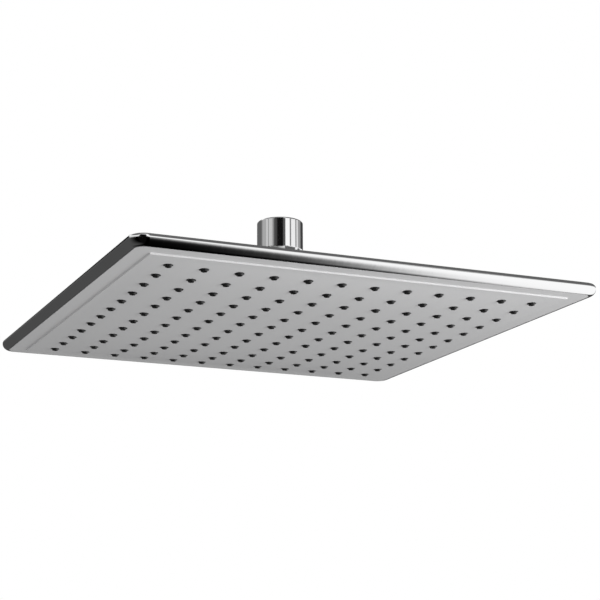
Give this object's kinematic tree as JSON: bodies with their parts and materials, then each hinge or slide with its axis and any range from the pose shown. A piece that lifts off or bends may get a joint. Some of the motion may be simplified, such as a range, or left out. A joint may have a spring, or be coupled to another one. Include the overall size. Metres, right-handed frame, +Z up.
{
  "type": "rain shower head",
  "caption": "Square overhead rain shower head with a chromed shell, a crowned grey face full of soft black nozzles and a ball joint with a threaded swivel nut.",
  "frame": {"origin": "middle of the mouth of the inlet thread, at the top of the swivel nut", "axes": "+Z up along the inlet thread, +X and +Y along the sides of the square head"},
  "size_m": [0.3, 0.3, 0.0755],
  "materials": {
    "chrome_brass": "bright chrome plating on turned brass",
    "black_rubber": "moulded rubber",
    "steel_mesh": "woven stainless wire",
    "white_plastic": "natural hard plastic",
    "brass": "turned brass",
    "chrome_plastic": "bright chrome plating on moulded plastic",
    "grey_plastic": "satin moulded plastic",
    "nozzle_plastic": "soft moulded plastic"
  },
  "bodies": {
    "nut": {"swivel_nut": "chrome_brass", "filter_washer": "black_rubber", "filter_screen": "steel_mesh", "ball_seal": "black_rubber"},
    "seat": {"seat_ring": "white_plastic"},
    "stem": {"ball_stem": "chrome_brass", "flow_disc": "white_plastic", "hex_adapter": "chrome_brass"},
    "head": {"stem_washer": "black_rubber", "inlet_bush": "brass", "back_shell": "chrome_plastic", "face_plate": "grey_plastic", "nozzles": "nozzle_plastic"}
  },
  "joints": [
    {"name": "swivel", "type": "hinge", "parent": "nut", "child": "seat", "pos_m": [0, 0, -0.0152], "axis": [0, 0, 1], "continuous": true},
    {"name": "tilt", "type": "hinge", "parent": "seat", "child": "stem", "pos_m": [0, 0, -0.0152], "axis": [1, 0, 0], "range_deg": [-15, 15]},
    {"name": "spin", "type": "hinge", "parent": "stem", "child": "head", "pos_m": [0, 0, -0.0152], "axis": [0, 0, 1], "continuous": true}
  ]
}
